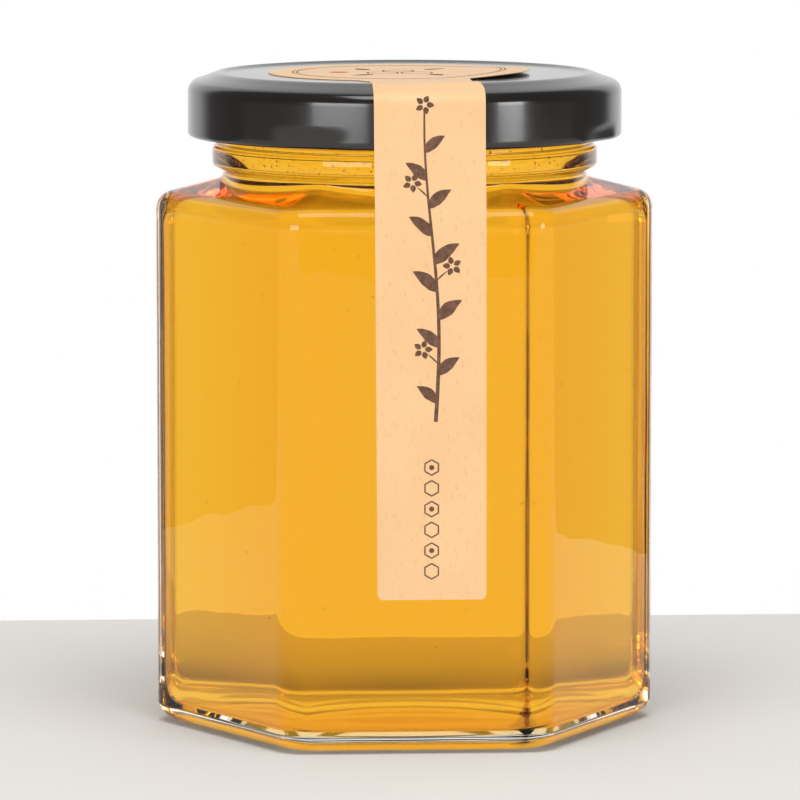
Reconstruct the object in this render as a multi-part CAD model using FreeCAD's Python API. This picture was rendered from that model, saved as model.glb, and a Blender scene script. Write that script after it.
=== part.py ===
import FreeCAD, Part
import math
import os

# Hexagonal glass jar of honey with a black twist-off lid and a paper seal.
# Millimetres, +Z up. The origin is at the centre of the base, on the surface it rests on.
# The front flat faces -Y and two of the six vertical edges lie on the X axis.

# Glass body
across_flats = 67.0
edge_radius = 5.0  # outside, on the six vertical edges
eave_height = 80.95  # base to the sharp meeting of sides and shoulder
eave_radius = 3.0
shoulder_height = 2.75  # eave to the root of the neck over an upright edge
wall = 2.6
shoulder_wall = 2.8
inner_edge_radius = 6.0
inner_eave_radius = 2.2
base_thickness = 2.9
heel_radius = 3.6
inner_heel_radius = 3.6
push_up_radius = 23.0  # shallow hollow under the base
push_up_depth = 1.5
floor_dome_radius = 20.0
floor_dome_height = 1.1

# Neck and twist-off finish
neck_radius = 27.7
neck_height = 15.3  # root of the neck to the rim
neck_wall = 2.4
bead_rise = 1.0  # root of the neck to the foot of the bead
bead_slope = 0.8  # height of the bead's sloping underside
bead_side = 2.85
bead_round = 0.4
bead_depth = 1.6
finish_depth = 1.1  # finish wall outside the neck
rim_radius = 1.1
thread_depth = 2.0
thread_height = 1.5
thread_drop = 6.6  # rim to the middle of a thread
thread_arc = 62.0  # degrees
thread_count = 4
thread_start = 61.0  # degrees from +X to the middle of the first thread and its lug

# Honey
fill_above_root = 5.2  # surface above the root of the neck

# Lid
lid_sheet = 0.25
lid_clearance = 1.95  # thread to the inside of the skirt
lid_height = 9.7
shoulder_radius = 1.9
slope_width = 2.3
slope_height = 1.05
crest_width = 1.3
panel_recess = 0.3
curl_width = 1.3
curl_height = 1.5
lug_depth = 1.4
lug_height = 0.9
lug_arc = 15.0  # degrees

# Paper seal
paper = 0.12
head_radius = 19.9
head_offset_x = -0.8
head_offset_y = 1.0
peel_rise = 0.55  # the head's edge beside the strip has come unstuck by this
strip_width = 16.2
strip_offset = 2.2
strip_end_height = 23.2  # base to the lower end of the strip
strip_corner_radius = 0.9
strip_lift_off = 0.8  # height above the curl where the strip leaves the skirt
strip_land = 0.75  # below the eave, where the strip meets the glass

# Sizes that follow
COS30 = math.cos(math.pi / 6)
apothem = across_flats / 2
root_height = eave_height + shoulder_height
rim_height = root_height + neck_height
mouth_radius = neck_radius - neck_wall
finish_radius = neck_radius + finish_depth
thread_radius = finish_radius + thread_depth
lid_radius = thread_radius + lid_clearance + lid_sheet
panel_height = rim_height + lid_sheet
lid_base = panel_height + panel_recess - lid_height
honey_level = root_height + fill_above_root
BIG = 4 * (across_flats + rim_height)
TOP_ROUND = 0.13  # corner radius over flat distance of the hexagon where the shoulder's facets meet the neck


def vec(x, y, z=0.0):
    return FreeCAD.Vector(x, y, z)


def hexagon(flat, radius, z):
    """Wire of a hexagon with rounded corners, flat from the axis to each side."""
    reach = (flat - radius) / COS30
    edges = []
    last = None
    for k in range(7):
        angle = math.radians(60 * k)
        centre = vec(reach * math.cos(angle), reach * math.sin(angle), z)
        turn = [angle + math.radians(d) for d in (-30, 0, 30)]
        a, b, c = [centre + vec(radius * math.cos(t), radius * math.sin(t)) for t in turn]
        if last is not None:
            edges.append(Part.LineSegment(last, a).toShape())
        if k < 6:
            edges.append(Part.Arc(a, b, c).toShape())
        last = c
    return Part.Wire(edges)


def hexagonal_block(flat, radius, low, eave, root, top, heel, eave_round):
    """Block with hexagonal sides from low to eave and six flat facets that rise to root.

    At root the facets' corners are no further from the axis than top.
    """
    sides = Part.Face(hexagon(flat, radius, low)).extrude(vec(0, 0, eave - low))
    narrow = hexagon(top * COS30, TOP_ROUND * top, root)
    block = sides.fuse(Part.makeLoft([hexagon(flat, radius, eave), narrow], True, True))
    block = block.removeSplitter()
    foot = [e for e in block.Edges if e.BoundBox.ZMax < low + 0.01]
    block = block.makeFillet(heel, foot)
    edge = [e for e in block.Edges if max(abs(v.Z - eave) for v in e.Vertexes) < 0.01]
    return block.makeFillet(eave_round, edge)


def turned(points):
    """Solid of revolution about Z of a closed outline of (radius, height) corners and arcs.

    A corner is a pair. An arc is a pair of pairs: a point on the way and the end.
    """
    edges = []
    start = vec(points[0][0], 0, points[0][1])
    last = start
    for p in list(points[1:]) + [points[0]]:
        if isinstance(p[0], tuple):
            mid = vec(p[0][0], 0, p[0][1])
            end = vec(p[1][0], 0, p[1][1])
            edges.append(Part.Arc(last, mid, end).toShape())
        else:
            end = vec(p[0], 0, p[1])
            edges.append(Part.LineSegment(last, end).toShape())
        last = end
    return Part.Face(Part.Wire(edges)).revolve(vec(0, 0), vec(0, 0, 1), 360)


def ring_part(r0, r1, z0, z1, middle, arc):
    """Block of a ring between two radii and two heights, arc degrees long about middle."""
    corners = [vec(r0, 0, z0), vec(r1, 0, z0), vec(r1, 0, z1), vec(r0, 0, z1)]
    part = Part.Face(Part.makePolygon(corners + corners[:1])).revolve(vec(0, 0), vec(0, 0, 1), arc)
    part.rotate(vec(0, 0), vec(0, 0, 1), middle - arc / 2)
    return part


def bend(centre, radius, degrees):
    """Point of a circle in the (radius, height) plane."""
    a = math.radians(degrees)
    return (centre[0] + radius * math.cos(a), centre[1] + radius * math.sin(a))


def cap_of_sphere(radius, height, z):
    """Dome on the plane z, radius wide at its foot."""
    ball = (radius ** 2 + height ** 2) / (2 * height)
    dome = Part.makeSphere(ball, vec(0, 0, z + height - ball))
    keep = Part.makeBox(BIG, BIG, BIG, vec(-BIG / 2, -BIG / 2, z))
    return dome.common(keep)


def neck_outside():
    """Neck, transfer bead and finish, up to the rounded rim."""
    foot = root_height + bead_rise
    side = foot + bead_slope
    high = side + bead_side
    bead_radius = neck_radius + bead_depth
    lower = (bead_radius - bead_round, side)
    upper = (bead_radius - bead_round, high - bead_round)
    rim = (finish_radius - rim_radius, rim_height - rim_radius)
    return turned([
        (0, eave_height),
        (neck_radius, eave_height),
        (neck_radius, foot),
        bend(lower, bead_round, -45),
        (bend(lower, bead_round, -20), (bead_radius, side)),
        (bead_radius, upper[1]),
        (bend(upper, bead_round, 45), (upper[0], high)),
        (finish_radius, high),
        (finish_radius, rim[1]),
        (bend(rim, rim_radius, 45), (rim[0], rim_height)),
        (0, rim_height),
    ])


def make_cavity():
    """Room inside the glass, from the domed floor to the rim."""
    root = root_height - shoulder_wall
    eave = eave_height - shoulder_wall
    room = hexagonal_block(
        apothem - wall, inner_edge_radius, base_thickness, eave, root, mouth_radius,
        inner_heel_radius, inner_eave_radius)
    room = room.fuse(Part.makeCylinder(mouth_radius, rim_height - eave, vec(0, 0, eave + 0.5)))
    return room.cut(cap_of_sphere(floor_dome_radius, floor_dome_height, base_thickness))


def make_jar(cavity):
    body = hexagonal_block(
        apothem, edge_radius, 0, eave_height, root_height, neck_radius, heel_radius, eave_radius)
    body = body.fuse(neck_outside())
    middle = rim_height - thread_drop
    for k in range(thread_count):
        ridge = ring_part(
            finish_radius - 0.5, thread_radius, middle - thread_height / 2,
            middle + thread_height / 2, 360 * k / thread_count + thread_start, thread_arc)
        body = body.fuse(ridge)
    body = body.cut(cavity)
    return body.cut(cap_of_sphere(push_up_radius, push_up_depth, 0))


def make_honey(cavity):
    level = Part.makeBox(BIG, BIG, honey_level, vec(-BIG / 2, -BIG / 2, 0))
    return cavity.common(level)


def lid_block(grow, low):
    """Solid under the lid's outer skin moved out by grow, down to low."""
    top = panel_height + grow
    crest = top + panel_recess
    eave = crest - slope_height
    radius = lid_radius + grow
    turn = (lid_radius - shoulder_radius, eave - shoulder_radius - grow)
    foot = turn[0] - slope_width
    inner = foot - crest_width
    return turned([
        (0, low),
        (0, top),
        (inner, top),
        ((inner + crest_width / 2, crest), (foot, crest - panel_recess / 3)),
        (turn[0], eave),
        (bend(turn, shoulder_radius + grow, 45), (radius, turn[1])),
        (radius, low),
    ])


def make_lid():
    skin = lid_block(0, lid_base + curl_height / 2)
    skin = skin.cut(lid_block(-lid_sheet, lid_base))
    outer = lid_radius
    inner = lid_radius - curl_width
    mid = lid_base + curl_height / 2
    half = curl_width / 2
    curl = turned([
        (outer, mid),
        ((outer - half, lid_base), (inner, mid)),
        ((outer - half, lid_base + curl_height), (outer - lid_sheet, mid + curl_height / 4)),
        (outer, mid + curl_height / 4),
    ])
    lid = skin.fuse(curl)
    for k in range(thread_count):
        lug = ring_part(
            inner - lug_depth + 0.3, inner + 0.3, mid - lug_height / 2, mid + lug_height / 2,
            360 * k / thread_count + thread_start, lug_arc)
        lid = lid.fuse(lug)
    return lid


def make_seal():
    """Round head on the lid's panel with a strip that runs over the rim and down the front."""
    left = strip_offset - strip_width / 2
    fold = strip_offset + strip_width / 2
    disc = Part.makeCylinder(head_radius, paper, vec(head_offset_x, head_offset_y, panel_height))
    loose = Part.makeBox(BIG, BIG, BIG, vec(fold, -BIG / 2, panel_height - BIG / 2))
    flap = disc.common(loose)
    reach = head_offset_x + head_radius - fold
    flap.rotate(vec(fold, 0, panel_height), vec(0, 1, 0), -math.degrees(math.atan2(peel_rise, reach)))
    head = disc.cut(loose).fuse(flap)

    leave = lid_base + curl_height + strip_lift_off
    band = Part.makeBox(strip_width, BIG, BIG, vec(left, head_offset_y - BIG, leave))
    over = lid_block(paper, leave - 1).cut(lid_block(0, leave - 2)).common(band)

    land = eave_height - strip_land
    low = vec(left, -apothem - paper, strip_end_height)
    plate = Part.makeBox(strip_width, paper, land - strip_end_height, low)
    ends = [e for e in plate.Edges if e.BoundBox.YLength > paper / 2 and e.BoundBox.ZMax < low.z + 0.01]
    plate = plate.makeFillet(strip_corner_radius, ends)

    def bowed(radius, z, turn):
        points = []
        for x in (left, strip_offset, left + strip_width):
            points.append(vec(x, -math.sqrt(radius ** 2 - x ** 2), z))
        return points[::turn]

    near = bowed(lid_radius, leave, 1)
    far = bowed(lid_radius + paper, leave, -1)
    upper = Part.Wire([
        Part.Arc(*near).toShape(),
        Part.LineSegment(near[2], far[0]).toShape(),
        Part.Arc(*far).toShape(),
        Part.LineSegment(far[2], near[0]).toShape(),
    ])
    corners = [vec(left, -apothem, land), vec(left + strip_width, -apothem, land),
               vec(left + strip_width, -apothem - paper, land), vec(left, -apothem - paper, land)]
    lower = Part.Wire([Part.LineSegment(corners[k], corners[(k + 1) % 4]).toShape() for k in range(4)])
    bridge = Part.makeLoft([upper, lower], True, True)
    return head.fuse(over).fuse(bridge).fuse(plate)


cavity = make_cavity()
pieces = {
    "jar": make_jar(cavity),
    "honey": make_honey(cavity),
    "lid": make_lid(),
    "seal_label": make_seal(),
}

os.makedirs("parts", exist_ok=True)
for name, shape in pieces.items():
    shape = shape.removeSplitter()
    solids = shape.Solids
    box = shape.optimalBoundingBox(False, False)
    print(name, "solids", len(solids), "valid", shape.isValid(), "cm3", round(shape.Volume / 1000, 3),
          "x", round(box.XMin, 2), round(box.XMax, 2), "y", round(box.YMin, 2), round(box.YMax, 2),
          "z", round(box.ZMin, 2), round(box.ZMax, 2))
    solids[0].exportStep("parts/" + name + ".step")
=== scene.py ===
import math

import bpy
import numpy as np
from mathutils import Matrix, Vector, noise


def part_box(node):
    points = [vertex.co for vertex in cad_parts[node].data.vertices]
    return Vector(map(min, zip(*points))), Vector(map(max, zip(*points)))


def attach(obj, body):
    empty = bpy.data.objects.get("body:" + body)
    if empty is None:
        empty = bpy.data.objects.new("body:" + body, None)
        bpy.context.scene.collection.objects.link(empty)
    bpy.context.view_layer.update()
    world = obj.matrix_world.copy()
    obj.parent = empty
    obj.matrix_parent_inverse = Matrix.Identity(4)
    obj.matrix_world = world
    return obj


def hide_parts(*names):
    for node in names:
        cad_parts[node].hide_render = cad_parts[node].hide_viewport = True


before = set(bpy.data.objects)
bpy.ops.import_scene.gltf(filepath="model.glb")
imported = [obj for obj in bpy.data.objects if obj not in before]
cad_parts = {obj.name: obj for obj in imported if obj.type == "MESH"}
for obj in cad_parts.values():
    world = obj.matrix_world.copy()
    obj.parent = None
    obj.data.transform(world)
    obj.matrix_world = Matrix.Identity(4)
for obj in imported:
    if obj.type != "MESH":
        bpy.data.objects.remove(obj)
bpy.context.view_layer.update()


# ---------------------------------------------------------------------------
# Jar. Soda-lime glass, pressed and blown in a mould: a hexagonal body with soft upright edges,
# a rounded heel, a low shoulder and a round neck with a bead and twist-off threads. One closed
# skin runs from under the base, up the outside, over the rim and down the inside.
# ---------------------------------------------------------------------------
MM = 0.001
COS30 = math.cos(math.pi / 6)
across_flats = 67.0
edge_radius = 5.0
eave_height = 80.95
eave_reach = 2.25
root_reach = 0.7
inner_eave_reach = 1.7
inner_root_reach = 0.9
shoulder_rise = 2.75
neck_radius = 27.7
facet_round = 0.13
heel_inset = 4.3
heel_height = 2.9
foot_corner = 6.0
push_up_radius = 23.0
push_up_depth = 1.5
wall = 2.6
shoulder_wall = 2.8
mouth_radius = 25.3
inner_edge_radius = 6.0
inner_heel_radius = 3.6
floor_height = 2.9
floor_dome_radius = 20.0
floor_dome_height = 1.1
bead_radius = 29.3
finish_radius = 28.8
bead_foot = 84.7
bead_width = 3.6
rim_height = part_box("jar")[1][2] / MM
thread_count = 4
thread_pitch = 360.0 / thread_count
thread_start = 61.0
thread_arc = 62.0
thread_depth = 1.9
thread_half = 0.95
thread_fall = 1.6
thread_fade = 5.0
thread_middle = rim_height - 6.6
thread_row = 0.28
rim_round = 1.1
lip_round = 0.8
honey_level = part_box("honey")[1][2] / MM
inner_wave = 0.16
outer_wave = 0.025
side_rows = 34

# Directions of the columns of points, closest together round each upright edge.
near_corner = [0.45 * k for k in range(13)]
half_sector = near_corner + [5.8, 6.5, 8.0, 10.5, 14.0, 18.0, 22.0, 26.0, 30.0]
sector = half_sector + [60.0 - a for a in reversed(half_sector[1:-1])]
turn = np.radians([60.0 * k + a for k in range(6) for a in sector])
off_corner = np.abs((turn + math.pi / 6) % (math.pi / 3) - math.pi / 6)
off_flat = math.pi / 6 - off_corner


def hexagon(side, corner):
    """Outline of a rounded hexagon as its distance from the axis in each direction of turn."""
    reach = (side - corner) / COS30
    under_root = corner ** 2 - (reach * np.sin(off_corner)) ** 2
    bow = reach * np.cos(off_corner) + np.sqrt(np.maximum(under_root, 0.0))
    tangent = math.atan2((side - corner) * math.tan(math.pi / 6), side)
    return np.where(off_flat > tangent, bow, side / np.cos(off_flat))


def level(radius, height):
    """One level of points, radius and height each a number or one value per direction."""
    radius = np.broadcast_to(radius, turn.shape)
    height = np.broadcast_to(height, turn.shape)
    return np.stack([radius * np.cos(turn), radius * np.sin(turn), height], axis=1)


def rounded(start, corner, end, steps):
    """Levels along an arc that leaves start and meets end, pulled towards corner."""
    a = np.array([np.broadcast_to(v, turn.shape) for v in start])
    b = np.array([np.broadcast_to(v, turn.shape) for v in corner])
    c = np.array([np.broadcast_to(v, turn.shape) for v in end])
    first = (a - b) / np.linalg.norm(a - b, axis=0)
    second = (c - b) / np.linalg.norm(c - b, axis=0)
    weight = np.sqrt(np.maximum((1 - np.sum(first * second, axis=0)) / 2, 1e-6))
    levels = []
    for t in np.linspace(0, 1, steps):
        low = (1 - t) ** 2
        mid = 2 * t * (1 - t) * weight
        high = t ** 2
        levels.append(level(*((low * a + mid * b + high * c) / (low + mid + high))))
    return levels


def wavy(points, depth, size, seed, lean=0.0):
    """Points moved towards or away from the axis by a slow random wave, lean setting it inwards."""
    moved = points.copy()
    for p in moved:
        way = Vector((p[0] / size + seed, p[1] / size, p[2] / (1.6 * size)))
        far = math.hypot(p[0], p[1])
        p[:2] *= 1 + depth * (noise.noise(way) - lean) / max(far, 1.0)
    return moved


def along(start, end, share):
    """Point of the way from start to end, both (radius, height), share of the way along."""
    return tuple(s + (e - s) * share for s, e in zip(start, end))


def shoulder(side, corner, eave, neck, reach, root_round, steps):
    """Levels from an upright side round the eave, up six flat facets and round into the neck."""
    low = (hexagon(side, corner), eave)
    high = (hexagon(neck * COS30, facet_round * neck), eave + shoulder_rise)
    slope = np.hypot(low[0] - high[0], low[1] - high[1])
    leave = along(low, high, reach / slope)
    root = along(low, high, (low[0] - neck) / (low[0] - high[0]))
    meet = along(root, low, root_round / slope)
    levels = rounded((low[0], eave - reach), low, leave, steps)
    levels += [level(*along(leave, meet, t)) for t in (0.33, 0.67)]
    levels += rounded(meet, (neck, root[1]), (neck, root[1] + root_round), 7)
    return levels


def cavity(grow, top):
    """Levels of the jar's inside from the middle of its floor up to top, moved out by grow."""
    levels = []
    for r in (2.0, 5.0, 9.0, 13.0, 17.0, 19.0):
        dome = floor_dome_height * (1 - (r / floor_dome_radius) ** 2)
        levels.append(level(r, floor_height - grow + dome))
    foot = across_flats / 2 - wall - inner_heel_radius
    foot_corner = inner_edge_radius - inner_heel_radius
    for share in (0.0, 0.25, 0.5, 0.75):
        side = floor_dome_radius + (foot - floor_dome_radius) * share
        corner = floor_dome_radius + (foot_corner - floor_dome_radius) * share
        levels.append(level(hexagon(side, corner), floor_height - grow))
    for a in np.radians(np.linspace(-90, 0, 10)):
        inset = (inner_heel_radius + grow) * (1 - math.cos(a))
        height = floor_height + inner_heel_radius + (inner_heel_radius + grow) * math.sin(a)
        side = across_flats / 2 - wall + grow - inset
        levels.append(level(hexagon(side, inner_edge_radius + grow - inset), height))
    side = across_flats / 2 - wall + grow
    eave = eave_height - shoulder_wall + grow
    for height in np.linspace(floor_height + inner_heel_radius + 1.2, eave - 2.2, side_rows):
        levels.append(level(hexagon(side, inner_edge_radius + grow), height))
    levels += shoulder(side, inner_edge_radius + grow, eave, mouth_radius + grow,
                       inner_eave_reach, inner_root_reach, 8)
    levels = [wavy(points, inner_wave, size=9.0, seed=3.0) for points in levels]
    for height in np.linspace(eave + shoulder_rise + 1.3, top, 8):
        levels.append(level(mouth_radius + grow, height))
    return levels


def outside():
    """Levels from under the base up the outside of the glass to the top of the rim."""
    levels = []
    for r in (2.0, 6.0, 10.0, 14.0, 17.5, 20.0, 21.8, push_up_radius):
        levels.append(level(r, push_up_depth * (1 - (r / push_up_radius) ** 2)))
    foot = across_flats / 2 - heel_inset
    for share in (0.3, 0.6, 0.85):
        side = push_up_radius + (foot - push_up_radius) * share
        corner = push_up_radius + (foot_corner - push_up_radius) * share
        levels.append(level(hexagon(side, corner), 0.0))
    for a in np.radians(np.linspace(-90, 0, 11)):
        share = 1 - math.cos(a)
        corner = edge_radius + (foot_corner - edge_radius) * share
        outline = hexagon(across_flats / 2 - heel_inset * share, corner)
        levels.append(level(outline, heel_height * (1 + math.sin(a))))
    for height in np.linspace(heel_height + 1.2, eave_height - eave_reach - 0.7, side_rows):
        levels.append(level(hexagon(across_flats / 2, edge_radius), height))
    levels += shoulder(across_flats / 2, edge_radius, eave_height, neck_radius,
                       eave_reach, root_reach, 10)
    levels = [wavy(points, outer_wave, size=7.0, seed=8.0, lean=0.9) for points in levels]
    levels += rounded((neck_radius, bead_foot - 0.25), (neck_radius, bead_foot),
                      (neck_radius + 0.3, bead_foot + 0.15), 5)
    levels += rounded((bead_radius - 0.4, bead_foot + 0.6), (bead_radius, bead_foot + 0.8),
                      (bead_radius, bead_foot + 1.3), 6)
    levels += rounded((bead_radius, bead_foot + 3.1), (bead_radius, bead_foot + bead_width),
                      (bead_radius - 0.3, bead_foot + 3.65), 6)
    for height in np.arange(bead_foot + 3.9, rim_height - 1.2, thread_row):
        levels.append(level(finish_radius + threads(height), height))
    levels += rounded((finish_radius, rim_height - rim_round), (finish_radius, rim_height),
                      (finish_radius - rim_round, rim_height), 7)
    levels += rounded((mouth_radius + lip_round, rim_height), (mouth_radius, rim_height),
                      (mouth_radius, rim_height - lip_round), 6)
    return levels


def from_thread(angles):
    """Degrees from the middle of the nearest thread, for angles in radians."""
    half = thread_pitch / 2
    return (np.degrees(angles) - thread_start + half) % thread_pitch - half


def threads(height):
    """Height of the slanted threads above the finish at one level."""
    off_middle = from_thread(turn)
    middle = thread_middle - off_middle / thread_arc * thread_fall
    across = np.clip(1 - ((height - middle) / thread_half) ** 2, 0, 1)
    ends = np.clip((thread_arc / 2 - np.abs(off_middle)) / thread_fade, 0, 1)
    return thread_depth * np.sqrt(across) * ends


def placed(name, data):
    """New object in the scene that shows data."""
    made = bpy.data.objects.new(name, data)
    bpy.context.scene.collection.objects.link(made)
    return made


def skin(name, levels, first_pole, last_pole):
    """Closed surface through levels, with a point at each end, as an object in metres."""
    count = len(levels[0])
    points = np.concatenate([[first_pole]] + levels + [[last_pole]]) * MM
    faces = []
    for j in range(count):
        faces.append((0, 1 + (j + 1) % count, 1 + j))
    for i in range(len(levels) - 1):
        low = 1 + i * count
        high = low + count
        for j in range(count):
            k = (j + 1) % count
            faces.append((low + j, low + k, high + k, high + j))
    low = 1 + (len(levels) - 1) * count
    for j in range(count):
        faces.append((low + j, low + (j + 1) % count, len(points) - 1))
    mesh = bpy.data.meshes.new(name)
    mesh.from_pydata(points.tolist(), [], faces)
    mesh.shade_smooth()
    mesh.update()
    return placed(name, mesh)


def material(name):
    """New material with its node tree, its shader and its output."""
    made = bpy.data.materials.new(name)
    made.use_nodes = True
    tree = made.node_tree
    return made, tree, tree.nodes["Principled BSDF"], tree.nodes["Material Output"]


def node(tree, kind, **inputs):
    """New node; a keyword sets the input of that name, _ standing for a space."""
    made = tree.nodes.new(kind)
    for key, value in inputs.items():
        made.inputs[key.replace("_", " ")].default_value = value
    return made


def glass(name, tint):
    """Clear glass whose surface keeps a faint ripple from the mould."""
    made, tree, shader, _ = material(name)
    shader.inputs["Base Color"].default_value = (0.985, 0.992, 0.975, 1)
    shader.inputs["Roughness"].default_value = 0.0
    shader.inputs["IOR"].default_value = 1.52
    shader.inputs["Transmission Weight"].default_value = 1.0
    shader.inputs["Specular Tint"].default_value = (tint, tint, tint, 1)
    place = tree.nodes.new("ShaderNodeTexCoord")
    ripple = node(tree, "ShaderNodeTexNoise", Scale=170.0, Detail=1.0, Roughness=0.4)
    bump = node(tree, "ShaderNodeBump", Strength=0.35, Distance=0.00002)
    tree.links.new(place.outputs["Object"], ripple.inputs["Vector"])
    tree.links.new(ripple.outputs["Fac"], bump.inputs["Height"])
    tree.links.new(bump.outputs["Normal"], shader.inputs["Normal"])
    return made


outer_levels = outside()
inner_levels = cavity(0.0, rim_height - 1.2)
jar = skin("jar_glass", outer_levels + inner_levels[::-1], (0, 0, push_up_depth),
           (0, 0, floor_height + floor_dome_height))
jar.data.materials.append(glass("clear_glass", 0.42))
jar.data.materials.append(glass("glass_wet_with_honey", 0.0))
inner_start = 1 + len(outer_levels) * len(turn)
for face in jar.data.polygons:
    if face.vertices[0] >= inner_start and face.center.z < honey_level * MM:
        face.material_index = 1
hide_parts("jar")
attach(jar, "root")


# ---------------------------------------------------------------------------
# Honey. Clear golden acacia honey that fills the jar to just above the shoulder. It wets the
# wall, so it reaches a hair into the glass, and small air bubbles hang in it as hollows.
# ---------------------------------------------------------------------------
wet_reach = 0.08
meniscus_height = 0.7
meniscus_length = 0.9
deep_bubbles = 150
surface_bubbles = 260
bead_bubbles = 900

levels = cavity(wet_reach, honey_level + meniscus_height)
bore = mouth_radius + wet_reach
for inset in (0.12, 0.3, 0.55, 0.9, 1.4, 2.2, 3.4, 6.0, 10.0, 15.0, 20.0, 23.5):
    rise = meniscus_height * math.exp(-inset / meniscus_length)
    levels.append(level(bore - inset, honey_level + rise))
body = skin("honey_body", levels, (0, 0, floor_height - wet_reach + floor_dome_height),
            (0, 0, honey_level))

honey_look, tree, shader, output = material("acacia_honey")
shader.inputs["Base Color"].default_value = (0.970, 0.62, 0.068, 1)
shader.inputs["Roughness"].default_value = 0.0
shader.inputs["IOR"].default_value = 1.49
shader.inputs["Transmission Weight"].default_value = 1.0
shader.inputs["Specular Tint"].default_value = (0, 0, 0, 1)
clear = node(tree, "ShaderNodeVolumeAbsorption", Color=(0.99, 0.772, 0.06, 1), Density=24.0)
tree.links.new(clear.outputs["Volume"], output.inputs["Volume"])


def node_group(name, kind, inputs, outputs):
    """New node group with the sockets named, its input node and its output node."""
    group = bpy.data.node_groups.new(name, kind)
    for side, sockets in (("INPUT", inputs), ("OUTPUT", outputs)):
        for label, holds in sockets:
            group.interface.new_socket(label, in_out=side, socket_type="NodeSocket" + holds)
    return group, group.nodes.new("NodeGroupInput"), group.nodes.new("NodeGroupOutput")


def bubbles_tree():
    """Small round hollows between two distances from the axis and between two heights."""
    inputs = (("Geometry", "Geometry"), ("Count", "Int"), ("Inner", "Float"), ("Reach", "Float"),
              ("Low", "Float"), ("High", "Float"), ("Smallest", "Float"), ("Largest", "Float"),
              ("Seed", "Int"), ("Material", "Material"))
    outputs = (("Geometry", "Geometry"),)
    group, given, result = node_group("air_bubbles", "GeometryNodeTree", inputs, outputs)
    new = group.nodes.new
    link = group.links.new
    around = new("FunctionNodeRandomValue")
    around.inputs["Max"].default_value = 2 * math.pi
    far = new("FunctionNodeRandomValue")
    high = new("FunctionNodeRandomValue")
    size = new("FunctionNodeRandomValue")
    for place, seed in ((around, 1), (far, 2), (high, 3), (size, 4)):
        add = new("ShaderNodeMath")
        add.inputs[1].default_value = seed
        link(given.outputs["Seed"], add.inputs[0])
        link(add.outputs[0], place.inputs["Seed"])
    link(given.outputs["Low"], high.inputs[2])
    link(given.outputs["High"], high.inputs[3])
    far.inputs[2].default_value = 0.0
    far.inputs[3].default_value = 1.0
    root = new("ShaderNodeMath")
    root.operation = "SQRT"
    link(far.outputs[1], root.inputs[0])
    out = new("ShaderNodeMapRange")
    link(root.outputs[0], out.inputs["Value"])
    link(given.outputs["Inner"], out.inputs["To Min"])
    link(given.outputs["Reach"], out.inputs["To Max"])
    spot = new("ShaderNodeCombineXYZ")
    for axis, kind in (("X", "COSINE"), ("Y", "SINE")):
        wave = new("ShaderNodeMath")
        wave.operation = kind
        link(around.outputs[1], wave.inputs[0])
        times = new("ShaderNodeMath")
        times.operation = "MULTIPLY"
        link(wave.outputs[0], times.inputs[0])
        link(out.outputs[0], times.inputs[1])
        link(times.outputs[0], spot.inputs[axis])
    link(high.outputs[1], spot.inputs["Z"])
    points = new("GeometryNodePoints")
    link(given.outputs["Count"], points.inputs["Count"])
    link(spot.outputs[0], points.inputs["Position"])
    cube = new("ShaderNodeMath")
    cube.operation = "POWER"
    cube.inputs[1].default_value = 3.0
    size.inputs[2].default_value = 0.0
    size.inputs[3].default_value = 1.0
    link(size.outputs[1], cube.inputs[0])
    scale = new("ShaderNodeMapRange")
    link(cube.outputs[0], scale.inputs["Value"])
    link(given.outputs["Smallest"], scale.inputs["To Min"])
    link(given.outputs["Largest"], scale.inputs["To Max"])
    ball = new("GeometryNodeMeshUVSphere")
    ball.inputs["Segments"].default_value = 8
    ball.inputs["Rings"].default_value = 6
    ball.inputs["Radius"].default_value = 1.0
    hollow = new("GeometryNodeFlipFaces")
    link(ball.outputs["Mesh"], hollow.inputs["Mesh"])
    spread = new("GeometryNodeInstanceOnPoints")
    link(points.outputs[0], spread.inputs["Points"])
    link(hollow.outputs[0], spread.inputs["Instance"])
    link(scale.outputs["Result"], spread.inputs["Scale"])
    real = new("GeometryNodeRealizeInstances")
    link(spread.outputs[0], real.inputs[0])
    smooth = new("GeometryNodeSetShadeSmooth")
    link(real.outputs[0], smooth.inputs[0])
    join = new("GeometryNodeJoinGeometry")
    link(smooth.outputs[0], join.inputs[0])
    link(given.outputs["Geometry"], join.inputs[0])
    paint = new("GeometryNodeSetMaterial")
    link(join.outputs[0], paint.inputs["Geometry"])
    link(given.outputs["Material"], paint.inputs["Material"])
    link(paint.outputs[0], result.inputs["Geometry"])
    return group


def with_nodes(piece, name, *runs):
    """Piece's mesh after one run of a node tree for each set of values, as a new plain object."""
    for tree, values in runs:
        modifier = piece.modifiers.new(tree.name, "NODES")
        modifier.node_group = tree
        for item in tree.interface.items_tree:
            if item.in_out == "INPUT" and item.name in values:
                modifier[item.identifier] = values[item.name]
    graph = bpy.context.evaluated_depsgraph_get()
    mesh = bpy.data.meshes.new_from_object(piece.evaluated_get(graph))
    mesh.name = name
    made = placed(name, mesh)
    bpy.data.objects.remove(piece)
    return made


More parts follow.
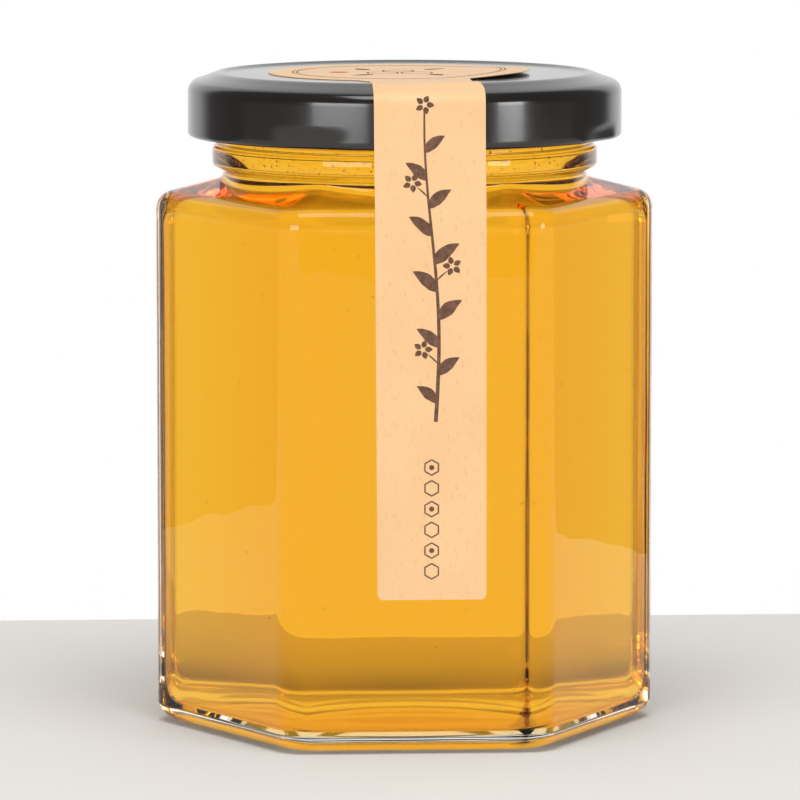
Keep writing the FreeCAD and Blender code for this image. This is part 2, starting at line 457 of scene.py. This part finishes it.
air = bubbles_tree()
near_top = {"Count": surface_bubbles, "Reach": (mouth_radius - 0.6) * MM,
            "Low": (honey_level - 1.3) * MM, "High": (honey_level - 0.25) * MM,
            "Smallest": 0.05 * MM, "Largest": 0.2 * MM, "Seed": 11, "Material": honey_look}
deeper = {"Count": deep_bubbles, "Reach": 28.0 * MM, "Low": 7.0 * MM,
          "High": (eave_height - 6.0) * MM, "Smallest": 0.04 * MM, "Largest": 0.16 * MM,
          "Seed": 42, "Material": honey_look}
at_bead = {"Count": bead_bubbles, "Inner": (mouth_radius - 1.3) * MM,
           "Reach": (mouth_radius - 0.25) * MM, "Low": (bead_foot + 0.9) * MM,
           "High": (honey_level - 0.6) * MM, "Smallest": 0.05 * MM, "Largest": 0.15 * MM,
           "Seed": 77, "Material": honey_look}
honey = with_nodes(body, "honey_fill", (air, near_top), (air, deeper), (air, at_bead))
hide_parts("honey")
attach(honey, "root")


# ---------------------------------------------------------------------------
# Lid. Pressed tinplate, lacquered black outside and pale gold inside: a sunk panel inside a
# rounded crest, a sloping shoulder, an upright skirt and a rolled edge that is pressed in at
# four places to make the lugs that hold it under the threads.
# ---------------------------------------------------------------------------
lid_radius = 33.0
lid_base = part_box("lid")[0][2] / MM
sheet = 0.25
panel_height = rim_height + sheet
crest_height = panel_height + 0.3
shoulder_radius = 1.9
slope_foot = 28.8
crest_inner = 27.5
slope_head = (31.9, 98.26)
skirt_eave = crest_height - 1.05
skirt_inner = 31.0
curl = 0.65
lug_half = 11.0
lug_press = 0.6
lug_top = 3.1
lug_fade = 2.0
lid_columns = 288
lining_bands = 20

lid_turn = np.linspace(0, 2 * math.pi, lid_columns, endpoint=False)


def arc(centre_r, centre_z, radius, start, end, steps):
    """Points (radius, height) of an arc, its angles in degrees from outwards."""
    angles = np.radians(np.linspace(start, end, steps))
    return [(centre_r + radius * math.cos(a), centre_z + radius * math.sin(a)) for a in angles]


def lid_outline():
    """Half section of the lid from the middle of its underside round to the middle of its top."""
    inside = lid_radius - sheet
    under = panel_height - sheet
    outline = [(r, under) for r in (3.0, 12.0, 20.0, 26.6, 27.4)]
    outline += [(28.15, crest_height - sheet), (28.8, crest_height - sheet - 0.1)]
    outline += arc(lid_radius - shoulder_radius, skirt_eave - shoulder_radius,
                   shoulder_radius - sheet, 68, 0, 8)
    outline += [(inside, z) for z in np.linspace(skirt_eave - 3.0, lid_base + 2.1, 6)]
    outline += [(inside, lid_base + 1.5)]
    outline += arc(lid_radius - curl, lid_base + curl, curl, 100, 360, 14)
    outline += [(lid_radius, z) for z in np.linspace(lid_base + 1.2, skirt_eave - 2.2, 12)]
    outline += arc(lid_radius - shoulder_radius, skirt_eave - shoulder_radius, shoulder_radius,
                   0, 66, 12)
    outline += [along(slope_head, (slope_foot, crest_height - 0.1), t) for t in (0.45, 0.7, 0.9)]
    outline += [(28.55, crest_height - 0.02), (28.2, crest_height), (27.85, crest_height - 0.08)]
    outline += [(27.55, panel_height + 0.06), (27.3, panel_height + 0.01), (27.0, panel_height)]
    outline += [(r, panel_height) for r in (24.0, 18.0, 12.0, 6.0, 2.0)]
    return outline


def pressed(radius, height):
    """Radius of the lid at one height, pushed in where the lugs are pressed."""
    off_middle = from_thread(lid_turn)
    if radius <= skirt_inner:
        return np.full_like(off_middle, radius)
    along_edge = np.clip(1 - (np.abs(off_middle) / lug_half) ** 2, 0, 1) ** 1.5
    down = np.clip((lid_base + lug_top - height) / lug_fade, 0, 1)
    down = down * down * (3 - 2 * down)
    return radius - lug_press * along_edge * down


lid_levels = []
for r, z in lid_outline():
    far = pressed(r, z)
    lid_levels.append(np.stack([far * np.cos(lid_turn), far * np.sin(lid_turn),
                                np.full_like(far, z)], axis=1))
lid = skin("lid_shell", lid_levels, (0, 0, panel_height - sheet), (0, 0, panel_height))


def uneven_tone_group():
    """Node group for a colour that drifts between a dark and a pale tone over the surface."""
    inputs = (("Scale", "Float"), ("Detail", "Float"), ("Roughness", "Float"), ("Low", "Float"),
              ("High", "Float"), ("Dark", "Color"), ("Pale", "Color"))
    outputs = (("Color", "Color"), ("Pattern", "Float"))
    group, given, result = node_group("uneven_tone", "ShaderNodeTree", inputs, outputs)
    place = group.nodes.new("ShaderNodeTexCoord")
    grain = group.nodes.new("ShaderNodeTexNoise")
    share = group.nodes.new("ShaderNodeMapRange")
    mixed = group.nodes.new("ShaderNodeMix")
    mixed.data_type = "RGBA"
    group.links.new(place.outputs["Object"], grain.inputs["Vector"])
    for name in ("Scale", "Detail", "Roughness"):
        group.links.new(given.outputs[name], grain.inputs[name])
    group.links.new(grain.outputs["Fac"], share.inputs["Value"])
    group.links.new(given.outputs["Low"], share.inputs["From Min"])
    group.links.new(given.outputs["High"], share.inputs["From Max"])
    group.links.new(share.outputs["Result"], mixed.inputs["Factor"])
    group.links.new(given.outputs["Dark"], mixed.inputs[6])
    group.links.new(given.outputs["Pale"], mixed.inputs[7])
    group.links.new(mixed.outputs[2], result.inputs["Color"])
    group.links.new(grain.outputs["Fac"], result.inputs["Pattern"])
    return group


uneven_tone = uneven_tone_group()


def tone(tree, scale, dark, pale, detail=2.0, roughness=0.5, low=0.0, high=1.0):
    """The uneven tone placed in a material with its own values."""
    made = tree.nodes.new("ShaderNodeGroup")
    made.node_tree = uneven_tone
    values = {"Scale": scale, "Detail": detail, "Roughness": roughness, "Low": low, "High": high,
              "Dark": dark, "Pale": pale}
    for name, value in values.items():
        made.inputs[name].default_value = value
    return made


black, tree, shader, _ = material("black_lacquer")
shader.inputs["Roughness"].default_value = 0.16
shader.inputs["IOR"].default_value = 1.5
shader.inputs["Coat Weight"].default_value = 0.3
shader.inputs["Coat Roughness"].default_value = 0.08
place = tree.nodes.new("ShaderNodeTexCoord")
peel = node(tree, "ShaderNodeTexNoise", Scale=900.0, Detail=2.0)
cloud = tone(tree, 60.0, (0.0085, 0.0070, 0.0062, 1), (0.0135, 0.0115, 0.0104, 1), detail=3.0)
rough = node(tree, "ShaderNodeMapRange", To_Min=0.13, To_Max=0.22)
bump = node(tree, "ShaderNodeBump", Strength=0.12, Distance=0.00002)
tree.links.new(place.outputs["Object"], peel.inputs["Vector"])
tree.links.new(cloud.outputs["Color"], shader.inputs["Base Color"])
tree.links.new(cloud.outputs["Pattern"], rough.inputs["Value"])
tree.links.new(rough.outputs["Result"], shader.inputs["Roughness"])
tree.links.new(peel.outputs["Fac"], bump.inputs["Height"])
tree.links.new(bump.outputs["Normal"], shader.inputs["Normal"])

lining, tree, shader, _ = material("lid_lining")
shader.inputs["Roughness"].default_value = 0.35
cloud = tone(tree, 220.0, (0.42, 0.30, 0.15, 1), (0.55, 0.41, 0.22, 1))
tree.links.new(cloud.outputs["Color"], shader.inputs["Base Color"])

lid.data.materials.append(black)
lid.data.materials.append(lining)
lining_faces = lid_columns * lining_bands
for face in lid.data.polygons:
    face.material_index = 1 if face.index < lining_faces else 0
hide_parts("lid")
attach(lid, "root")


# ---------------------------------------------------------------------------
# Seal. One die-cut piece of kraft paper: a round head stuck on the panel, and a strip that
# runs over the rim, spans the gap to the glass and lies on the front flat. The head's front
# right side has come unstuck and stands a little off the lid.
# ---------------------------------------------------------------------------
paper = 0.095
gum = 0.015
head_radius = 19.9
head_x = -0.8
head_y = 1.0
peel_rise = 0.5
peel_start = 3.0
peel_full = 17.0
peel_front = 2.0
peel_rear = 16.0
peel_over = 3.6
head_front = -20.0
root_fillet = 1.6
strip_root = crest_inner - 1.5
strip_corner = 0.9
strip_taper = 1.5
strip_left = (-6.4, -5.93)
strip_right = (10.15, 10.25)
strip_middle = 2.1
strip_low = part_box("seal_label")[0][2] / MM
leave_height = 92.1
land_height = 80.2
flat_front = across_flats / 2

# Course of the strip over the lid, as points (radius, height).
lay = [(strip_root, panel_height), (28.15, crest_height), (slope_foot + 0.1, crest_height - 0.05)]
lay += arc(lid_radius - shoulder_radius, skirt_eave - shoulder_radius, shoulder_radius, 66, 0, 12)
lay += [(lid_radius, z) for z in np.linspace(skirt_eave - 2.2, leave_height, 8)]
lay = np.array(lay)
lay_length = np.concatenate([[0], np.cumsum(np.hypot(*np.diff(lay, axis=0).T))])
over_lid = lay_length[-1]
span = 12.0
down_flat = land_height - strip_low
whole = over_lid + span + down_flat


def smooth_step(low, high, value):
    """Smooth rise from 0 where value is low to 1 where it is high."""
    share = min(max((value - low) / (high - low), 0.0), 1.0)
    return share * share * (3 - 2 * share)


def on_head(x, y):
    """Point of the paper's underside on the panel."""
    lift = peel_rise * smooth_step(peel_start, peel_full, x) * smooth_step(peel_rear, peel_front, y)
    return Vector((x, y, panel_height + gum + lift))


def on_strip(x, t):
    """Point of the paper's underside t from the strip's lower end, measured along the strip."""
    way = whole - t
    side = math.sqrt(lid_radius ** 2 - x ** 2)
    if way < over_lid:
        r = np.interp(way, lay_length, lay[:, 0])
        z = np.interp(way, lay_length, lay[:, 1])
        lift = peel_rise * smooth_step(peel_start, peel_full, x) * smooth_step(peel_over, 0.0, way)
        return Vector((x, -math.sqrt((r + gum) ** 2 - x ** 2), z + gum + lift))
    if way < over_lid + span:
        share = (way - over_lid) / span
        bow = smooth_step(0.0, 1.0, share) * 0.35 + share * 0.65
        y = -side + (side - flat_front) * bow
        return Vector((x, y - gum, leave_height + (land_height - leave_height) * share))
    return Vector((x, -flat_front - gum, strip_low + t))


def strip_edges(t):
    """Left and right edge of the strip at t."""
    share = min(t / whole, 1.0)
    left = strip_left[1] + (strip_left[0] - strip_left[1]) * share
    right = strip_right[1] + (strip_right[0] - strip_right[1]) * share
    right -= strip_taper * smooth_step(whole - 5.5, whole + 1.0, t)
    if t < strip_corner:
        under_root = strip_corner ** 2 - (strip_corner - t) ** 2
        inset = strip_corner - math.sqrt(max(under_root, 0.0))
        left += inset
        right -= inset
    return left, right


def head_edges(y):
    """Left and right edge of the head at y, the strip's own edges in front of it."""
    half = math.sqrt(max(head_radius ** 2 - (y - head_y) ** 2, 0.0))
    left = head_x - half
    right = head_x + half
    if y < head_y:
        strip = strip_edges(whole)
        fillet = root_fillet * smooth_step(-21.5, -17.0, y)
        left = min(left, strip[0] - fillet)
        right = max(right, strip[1])
    return left, right


def paper_rows():
    """Rows of underside points across the label from the head's rear edge to the strip's end."""
    rows = []
    shares = 0.5 - 0.5 * np.cos(np.linspace(0, math.pi, 33))
    back = head_y + head_radius
    ys = [back - 0.004]
    ys += list(back - (1 - np.cos(np.linspace(0.12, math.pi / 2, 26))) * head_radius)
    ys += list(np.linspace(head_y - 1.0, -15.0, 18))
    ys += list(np.linspace(-15.3, head_front, 24))
    for y in ys:
        left, right = head_edges(y)
        rows.append([on_head(left + (right - left) * s, y) for s in shares])
    for step in np.linspace(0.1, 1.0, 8)[:-1]:
        row = []
        left, right = strip_edges(whole)
        for s in shares:
            x = left + (right - left) * s
            goal = -math.sqrt(strip_root ** 2 - x ** 2)
            row.append(on_head(x, head_front + (goal - head_front) * step))
        rows.append(row)
    ts = list(whole - np.linspace(0, over_lid, 40))
    ts += list(whole - over_lid - np.linspace(0, span, 14)[1:])
    ts += list(down_flat - np.linspace(0, down_flat - 1.2, 40)[1:])
    ts += [0.9, 0.65, 0.42, 0.24, 0.1, 0.02]
    for t in ts:
        left, right = strip_edges(t)
        rows.append([on_strip(left + (right - left) * s, t) for s in shares])
    return rows


def slab(name, grids, thickness, lift=0.0):
    """Closed thin sheets on the upper side of grids of points, thickness one value or one each."""
    points = []
    faces = []
    for rows, thick in zip(grids, np.broadcast_to(thickness, len(grids))):
        grid = np.array([[tuple(p) for p in row] for row in rows])
        along_rows = np.gradient(grid, axis=0)
        across = np.gradient(grid, axis=1)
        normal = np.cross(along_rows, across)
        normal /= np.maximum(np.linalg.norm(normal, axis=2, keepdims=True), 1e-9)
        n, m = grid.shape[:2]
        base = len(points)
        points += (grid + normal * lift).reshape(-1, 3).tolist()
        points += (grid + normal * (lift + thick)).reshape(-1, 3).tolist()
        top = base + n * m
        for i in range(n - 1):
            for j in range(m - 1):
                a, b, c, d = i * m + j, i * m + j + 1, (i + 1) * m + j + 1, (i + 1) * m + j
                faces.append((base + a, base + b, base + c, base + d))
                faces.append((top + a, top + d, top + c, top + b))
        ring = list(range(m)) + [i * m + m - 1 for i in range(1, n)]
        ring += [(n - 1) * m + j for j in range(m - 2, -1, -1)]
        ring += [i * m for i in range(n - 2, 0, -1)]
        for k, p in enumerate(ring):
            q = ring[(k + 1) % len(ring)]
            faces.append((base + p, top + p, top + q, base + q))
    mesh = bpy.data.meshes.new(name)
    mesh.from_pydata((np.array(points) * MM).tolist(), [], faces)
    mesh.update()
    mesh.shade_smooth()
    mesh.set_sharp_from_angle(angle=math.radians(50))
    return placed(name, mesh)


seal = slab("seal_paper", [paper_rows()], paper)

kraft, tree, shader, _ = material("kraft_paper")
shader.inputs["Roughness"].default_value = 0.62
shader.inputs["Specular IOR Level"].default_value = 0.5
shader.inputs["Sheen Weight"].default_value = 0.25
shader.inputs["Sheen Roughness"].default_value = 0.35
place = tree.nodes.new("ShaderNodeTexCoord")
pulp = tone(tree, 90.0, (0.84, 0.52, 0.255, 1), (0.895, 0.562, 0.288, 1), detail=4.0,
            low=0.3, high=0.7)
stretch = tree.nodes.new("ShaderNodeMapping")
stretch.inputs["Scale"].default_value = (1.0, 1.0, 0.35)
fibre = node(tree, "ShaderNodeTexNoise", Scale=2600.0, Detail=2.0, Roughness=0.6)
fleck = tree.nodes.new("ShaderNodeValToRGB")
fleck.color_ramp.elements[0].position = 0.60
fleck.color_ramp.elements[0].color = (0, 0, 0, 1)
fleck.color_ramp.elements[1].position = 0.74
fleck.color_ramp.elements[1].color = (0.35, 0.35, 0.35, 1)
blend = tree.nodes.new("ShaderNodeMix")
blend.data_type = "RGBA"
blend.inputs[7].default_value = (0.58, 0.34, 0.16, 1)
bump = node(tree, "ShaderNodeBump", Strength=0.25, Distance=0.00003)
tree.links.new(place.outputs["Object"], stretch.inputs["Vector"])
tree.links.new(stretch.outputs["Vector"], fibre.inputs["Vector"])
tree.links.new(fibre.outputs["Fac"], fleck.inputs["Fac"])
tree.links.new(fleck.outputs["Color"], blend.inputs["Factor"])
tree.links.new(pulp.outputs["Color"], blend.inputs[6])
tree.links.new(blend.outputs[2], shader.inputs["Base Color"])
tree.links.new(fibre.outputs["Fac"], bump.inputs["Height"])
tree.links.new(bump.outputs["Normal"], shader.inputs["Normal"])
seal.data.materials.append(kraft)
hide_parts("seal_label")
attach(seal, "root")


# ---------------------------------------------------------------------------
# Print. Dark brown ink on the paper: a brush-drawn sprig with leaves and small blossoms down
# the strip and a thin column of honeycomb cells under it, and on the head two thin rings, three
# cells, four leaves and a plain red dot. Each stroke is a closed film a few microns thick, and
# strokes that cross differ in thickness, so that no two faces share a plane.
# ---------------------------------------------------------------------------
ink_lift = paper - 0.002
stem_film = 0.006
ink_films = (0.007, 0.008, 0.009, 0.010, 0.011)
stem_foot = (2.7, 26.6)
stem_tip = (1.7, 73.0)
stem_sway = 0.75
stem_steps = 90
leaf_angle = 34
leaf_count = 10
leaf_length = 4.9
leaf_half = 0.98
petal_length = 1.15
petal_half = 0.42
cell_radius = 1.15
cell_pitch = 3.1
cell_count = 6
cell_line = 0.11
ring_radii = (16.2, 15.55)
ring_line = 0.11
dot_radius = 1.5
dot_x = -10.0


def stroke(points, halves, place):
    """Rows of underside points of one brush stroke along points, halves its half widths."""
    points = np.array(points)
    way = np.gradient(points, axis=0)
    way /= np.maximum(np.linalg.norm(way, axis=1, keepdims=True), 1e-9)
    side = np.stack([-way[:, 1], way[:, 0]], axis=1)
    rows = []
    for spot, out, half in zip(points, side, halves):
        rows.append([place(*(spot + out * max(half, 0.015) * v)) for v in (-1, -0.4, 0.4, 1)])
    return rows


def leaf(start, angle, length, half, curve, place):
    """Stroke of a pointed leaf that leaves start at angle, in degrees from up, and bends."""
    points = []
    halves = []
    spot = np.array(start)
    steps = 16
    for k in range(steps + 1):
        share = k / steps
        points.append(spot)
        rough = 1 + 0.12 * noise.noise(Vector((start[0] * 3, start[1] * 3, share * 5)))
        halves.append(half * math.sin(math.pi * share ** 0.8) ** 0.85 * rough if 0 < k < steps else 0.0)
        turned = math.radians(angle + curve * share)
        spot = spot + np.array([math.sin(turned), math.cos(turned)]) * length / steps
    return stroke(points, halves, place)


def blossom(centre, petals, twist, place):
    """Strokes of a small open flower about centre, a gap in the middle."""
    strokes = []
    for k in range(petals):
        angle = math.radians(twist + 360 * k / petals)
        start = (centre[0] + 0.32 * math.sin(angle), centre[1] + 0.32 * math.cos(angle))
        strokes.append(leaf(start, math.degrees(angle), petal_length, petal_half, 8, place))
    return strokes


def ring_stroke(centre, radius, half, corners, place):
    """Stroke round a closed outline, a circle when it has many corners."""
    angles = [2 * math.pi * k / corners for k in range(corners + 1)]
    outline = [(centre[0] + radius * math.sin(a), centre[1] + radius * math.cos(a)) for a in angles]
    if corners < 12:
        outline = [tuple(np.array(p) + (np.array(q) - np.array(p)) * t)
                   for p, q in zip(outline, outline[1:]) for t in (0, 0.25, 0.5, 0.75)] + outline[-1:]
    return stroke(outline[::-1], [half] * len(outline), place)


def disc_stroke(centre, radius, place):
    """Stroke that fills a circle."""
    across = [-math.cos(math.pi * k / 20) * radius for k in range(21)]
    points = [(centre[0], centre[1] + a) for a in across]
    return stroke(points, [math.sqrt(max(radius ** 2 - a ** 2, 0.0)) for a in across], place)


def stem_at(share):
    """Point of the sprig's stem, share of the way from its foot."""
    x, t = along(stem_foot, stem_tip, share)
    return x + stem_sway * math.sin(share * 5.2), t


stem = [stem_at(k / stem_steps) for k in range(stem_steps + 1)]
stem_halves = [0.30 - 0.16 * k / stem_steps for k in range(stem_steps + 1)]
strokes = [stroke(stem, stem_halves, on_strip)]
for k in range(leaf_count):
    share = 0.06 + 0.80 * k / (leaf_count - 1)
    side = 1 if k % 2 else -1
    grown = 1.0 - 0.22 * abs(share - 0.45) / 0.45
    strokes.append(leaf(stem_at(share), side * leaf_angle, leaf_length * grown, leaf_half * grown,
                        side * leaf_angle, on_strip))
    if k % 3 == 1:
        bud = stem_at(share + 0.035)
        strokes.append(leaf(bud, -side * 42, 2.4, 0.13, -side * 12, on_strip))
        flower = (bud[0] - side * 2.35, bud[1] + 2.2)
        strokes += blossom(flower, 5, 14 * k, on_strip)
strokes += blossom((stem_at(1.0)[0], stem_at(1.0)[1] + 0.6), 5, 20, on_strip)
for k in range(cell_count):
    cell = (strip_middle, 4.3 + cell_pitch * k)
    strokes.append(ring_stroke(cell, cell_radius, cell_line, 6, on_strip))
    if k % 2:
        strokes.append(disc_stroke(cell, 0.38, on_strip))
for radius in ring_radii:
    strokes.append(ring_stroke((head_x, head_y), radius, ring_line, 96, on_head))
for x, y in ((0.0, 2.6), (-2.6, -1.9), (2.6, -1.9)):
    strokes.append(ring_stroke((head_x + x, head_y + y), 2.6, 0.16, 6, on_head))
for angle in (40, 140, 220, 320):
    around = math.radians(angle)
    start = (head_x + 6.6 * math.sin(around), head_y + 6.6 * math.cos(around))
    strokes.append(leaf(start, angle, 4.2, 0.9, 30, on_head))
films = [stem_film] + [ink_films[k % len(ink_films)] for k in range(len(strokes) - 1)]
ink = slab("seal_print", strokes, films, lift=ink_lift)
dot = disc_stroke((dot_x, head_y), dot_radius, on_head)
stamp = slab("seal_dot", [dot], ink_films[0], lift=ink_lift)


def ink_look(name, dark, pale, wear):
    """Matt printing ink that the paper has drunk unevenly."""
    made, tree, shader, _ = material(name)
    shader.inputs["Roughness"].default_value = 0.7
    shader.inputs["Specular IOR Level"].default_value = 0.25
    grain = tone(tree, wear, dark, pale, detail=3.0, roughness=0.6, low=0.38, high=0.72)
    bump = node(tree, "ShaderNodeBump", Strength=0.2, Distance=0.00002)
    tree.links.new(grain.outputs["Color"], shader.inputs["Base Color"])
    tree.links.new(grain.outputs["Pattern"], bump.inputs["Height"])
    tree.links.new(bump.outputs["Normal"], shader.inputs["Normal"])
    return made


brown = ink_look("brown_ink", (0.120, 0.056, 0.034, 1), (0.215, 0.112, 0.072, 1), 1500.0)
red = ink_look("red_ink", (0.62, 0.10, 0.06, 1), (0.72, 0.16, 0.10, 1), 1200.0)
ink.data.materials.append(brown)
stamp.data.materials.append(red)
for piece in (ink, stamp):
    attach(piece, "root")


# ---------------------------------------------------------------------------
# Studio. A pale table that ends a little way behind the jar, two soft lights in front at either
# side and one overhead. The world is white to the camera and through glass. Reflections see it
# white only behind the jar and darker elsewhere, and it gives a weaker even light all round.
# ---------------------------------------------------------------------------
camera_data = bpy.data.cameras.new("camera")
camera = placed("camera", camera_data)
camera.location = (-0.05515, -0.97066, 0.1617)
camera.rotation_euler = (math.radians(90 - 6.642), 0, math.radians(-3.252))
camera_data.lens = 287.8
camera_data.sensor_width = 36.0
camera_data.shift_x = -0.0058
camera_data.shift_y = 0.0057
bpy.context.scene.camera = camera
bpy.context.scene.view_settings.view_transform = "Standard"
bpy.context.scene.cycles.max_bounces = 32
bpy.context.scene.cycles.transmission_bounces = 32

table_back = 0.104
table_top = -0.00005
table_half = 1.2
table_front = -0.78
mesh = bpy.data.meshes.new("table")
corners = [(-table_half, table_front, table_top), (table_half, table_front, table_top),
           (table_half, table_back, table_top), (-table_half, table_back, table_top)]
mesh.from_pydata(corners, [], [(0, 1, 2, 3)])
table = placed("table", mesh)
top, tree, shader, _ = material("pale_table")
shader.inputs["Roughness"].default_value = 0.8
cloud = tone(tree, 6.0, (0.84, 0.815, 0.785, 1), (0.87, 0.845, 0.815, 1))
tree.links.new(cloud.outputs["Color"], shader.inputs["Base Color"])
mesh.materials.append(top)


def soft_light(name, place, aim, width, height, brightness):
    """Flat lamp of even brightness, facing aim."""
    data = bpy.data.lights.new(name, "AREA")
    data.shape = "RECTANGLE"
    data.size = width
    data.size_y = height
    data.energy = brightness * width * height * math.pi
    lamp = placed(name, data)
    lamp.location = place
    lamp.rotation_euler = (Vector(aim) - Vector(place)).to_track_quat("-Z", "Y").to_euler()
    lamp.visible_camera = False


soft_light("front_left", (-0.82, -1.07, 0.145), (0, 0, 0.145), 0.72, 0.29, 7.4)
soft_light("front_right", (1.10, -0.80, 0.145), (0, 0, 0.145), 0.36, 0.29, 10.0)
soft_light("overhead", (0.0, -0.45, 1.1), (0, 0, 0.05), 0.9, 0.6, 5.0)

wall_white = 1.0
room_reflected = 0.15
room_diffuse = 0.42
world = bpy.data.worlds.new("studio")
bpy.context.scene.world = world
world.use_nodes = True
tree = world.node_tree
sky = tree.nodes["Background"]
path = tree.nodes.new("ShaderNodeLightPath")
place = tree.nodes.new("ShaderNodeTexCoord")
horizontal = tree.nodes.new("ShaderNodeVectorMath")
horizontal.operation = "MULTIPLY"
horizontal.inputs[1].default_value = (1, 1, 0)
tree.links.new(place.outputs["Generated"], horizontal.inputs[0])
unit = tree.nodes.new("ShaderNodeVectorMath")
unit.operation = "NORMALIZE"
tree.links.new(horizontal.outputs[0], unit.inputs[0])
heading = tree.nodes.new("ShaderNodeSeparateXYZ")
tree.links.new(unit.outputs[0], heading.inputs[0])
wall_light = node(tree, "ShaderNodeMapRange", From_Min=0.64, From_Max=0.78,
                  To_Min=room_reflected, To_Max=wall_white)
tree.links.new(heading.outputs["Y"], wall_light.inputs["Value"])
glossy = tree.nodes.new("ShaderNodeMix")
tree.links.new(path.outputs["Is Glossy Ray"], glossy.inputs["Factor"])
glossy.inputs["A"].default_value = room_diffuse
tree.links.new(wall_light.outputs["Result"], glossy.inputs["B"])
through = tree.nodes.new("ShaderNodeMath")
through.operation = "MAXIMUM"
tree.links.new(path.outputs["Is Camera Ray"], through.inputs[0])
tree.links.new(path.outputs["Is Transmission Ray"], through.inputs[1])
level_of_light = tree.nodes.new("ShaderNodeMix")
tree.links.new(through.outputs[0], level_of_light.inputs["Factor"])
tree.links.new(glossy.outputs[0], level_of_light.inputs["A"])
level_of_light.inputs["B"].default_value = wall_white
tree.links.new(level_of_light.outputs[0], sky.inputs["Strength"])
sky.inputs["Color"].default_value = (1, 1, 1, 1)
